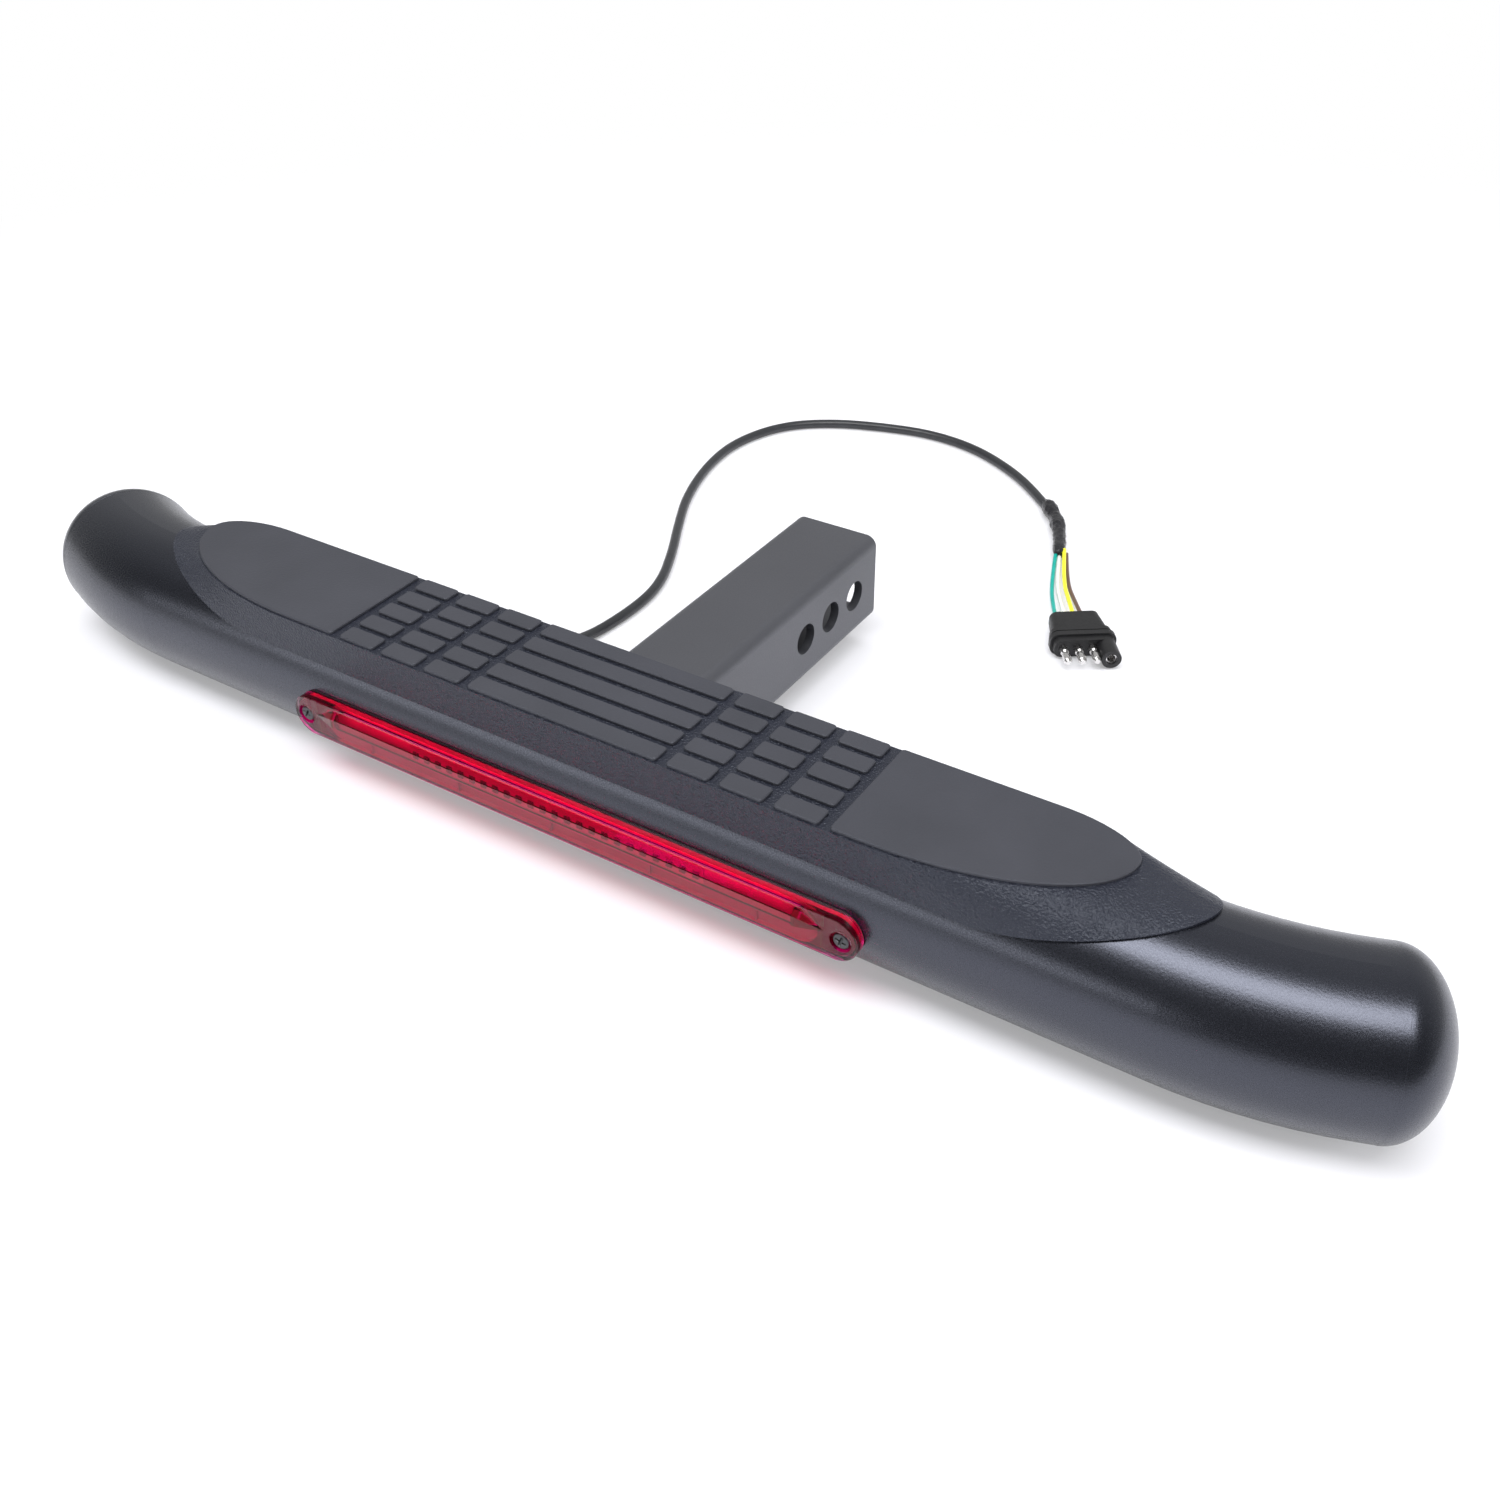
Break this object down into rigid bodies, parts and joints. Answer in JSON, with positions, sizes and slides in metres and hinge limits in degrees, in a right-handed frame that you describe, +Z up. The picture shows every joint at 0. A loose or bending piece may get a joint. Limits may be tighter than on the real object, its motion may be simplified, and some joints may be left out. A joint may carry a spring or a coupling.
{
  "type": "hitch receiver step",
  "caption": "Bent round step bar on a square hitch shank, with a moulded step pad, a red light bar and a trailer cable with a flat connector.",
  "frame": {"origin": "centre of the middle hitch pin hole, on the shank's centre line", "axes": "+X along the step bar and the pin holes, +Y along the shank towards the vehicle, +Z up"},
  "size_m": [0.7582, 0.5083, 0.0798],
  "materials": {
    "bar_coat": "satin fine-textured powder coat",
    "shank_coat": "matte powder coat",
    "pad_plastic": "matte, skirt finely grained",
    "lens_red": "clear gloss",
    "light_black": "matte",
    "gasket_foam": "matte foam",
    "reflector_white": "gloss",
    "board_dark": "matte",
    "led_lens": "gloss",
    "screw_steel": "satin",
    "cable_black": "satin",
    "tape_black": "crumpled gloss",
    "wire_green": "satin",
    "wire_white": "satin",
    "wire_yellow": "satin",
    "wire_brown": "satin",
    "connector_black": "matte",
    "contact_silver": "bright"
  },
  "bodies": {
    "root": {"bar_tube": "bar_coat", "end_cap_left": "bar_coat", "end_cap_right": "bar_coat", "shank_tube": "shank_coat", "shank_weld": "shank_coat", "step_pad": "pad_plastic", "light_gasket": "gasket_foam", "light_base": "light_black", "light_lens": "lens_red", "light_reflector": "reflector_white", "light_board": "board_dark", "light_leds": "led_lens", "light_screw_left": "screw_steel", "light_screw_right": "screw_steel", "light_lead": "cable_black", "cable_grommet": "cable_black", "cable": "cable_black", "tape_wrap": "tape_black", "wire_green": "wire_green", "wire_white": "wire_white", "wire_yellow": "wire_yellow", "wire_brown": "wire_brown", "connector_body": "connector_black", "connector_pins": "contact_silver", "socket_contact": "contact_silver"}
  },
  "joints": []
}
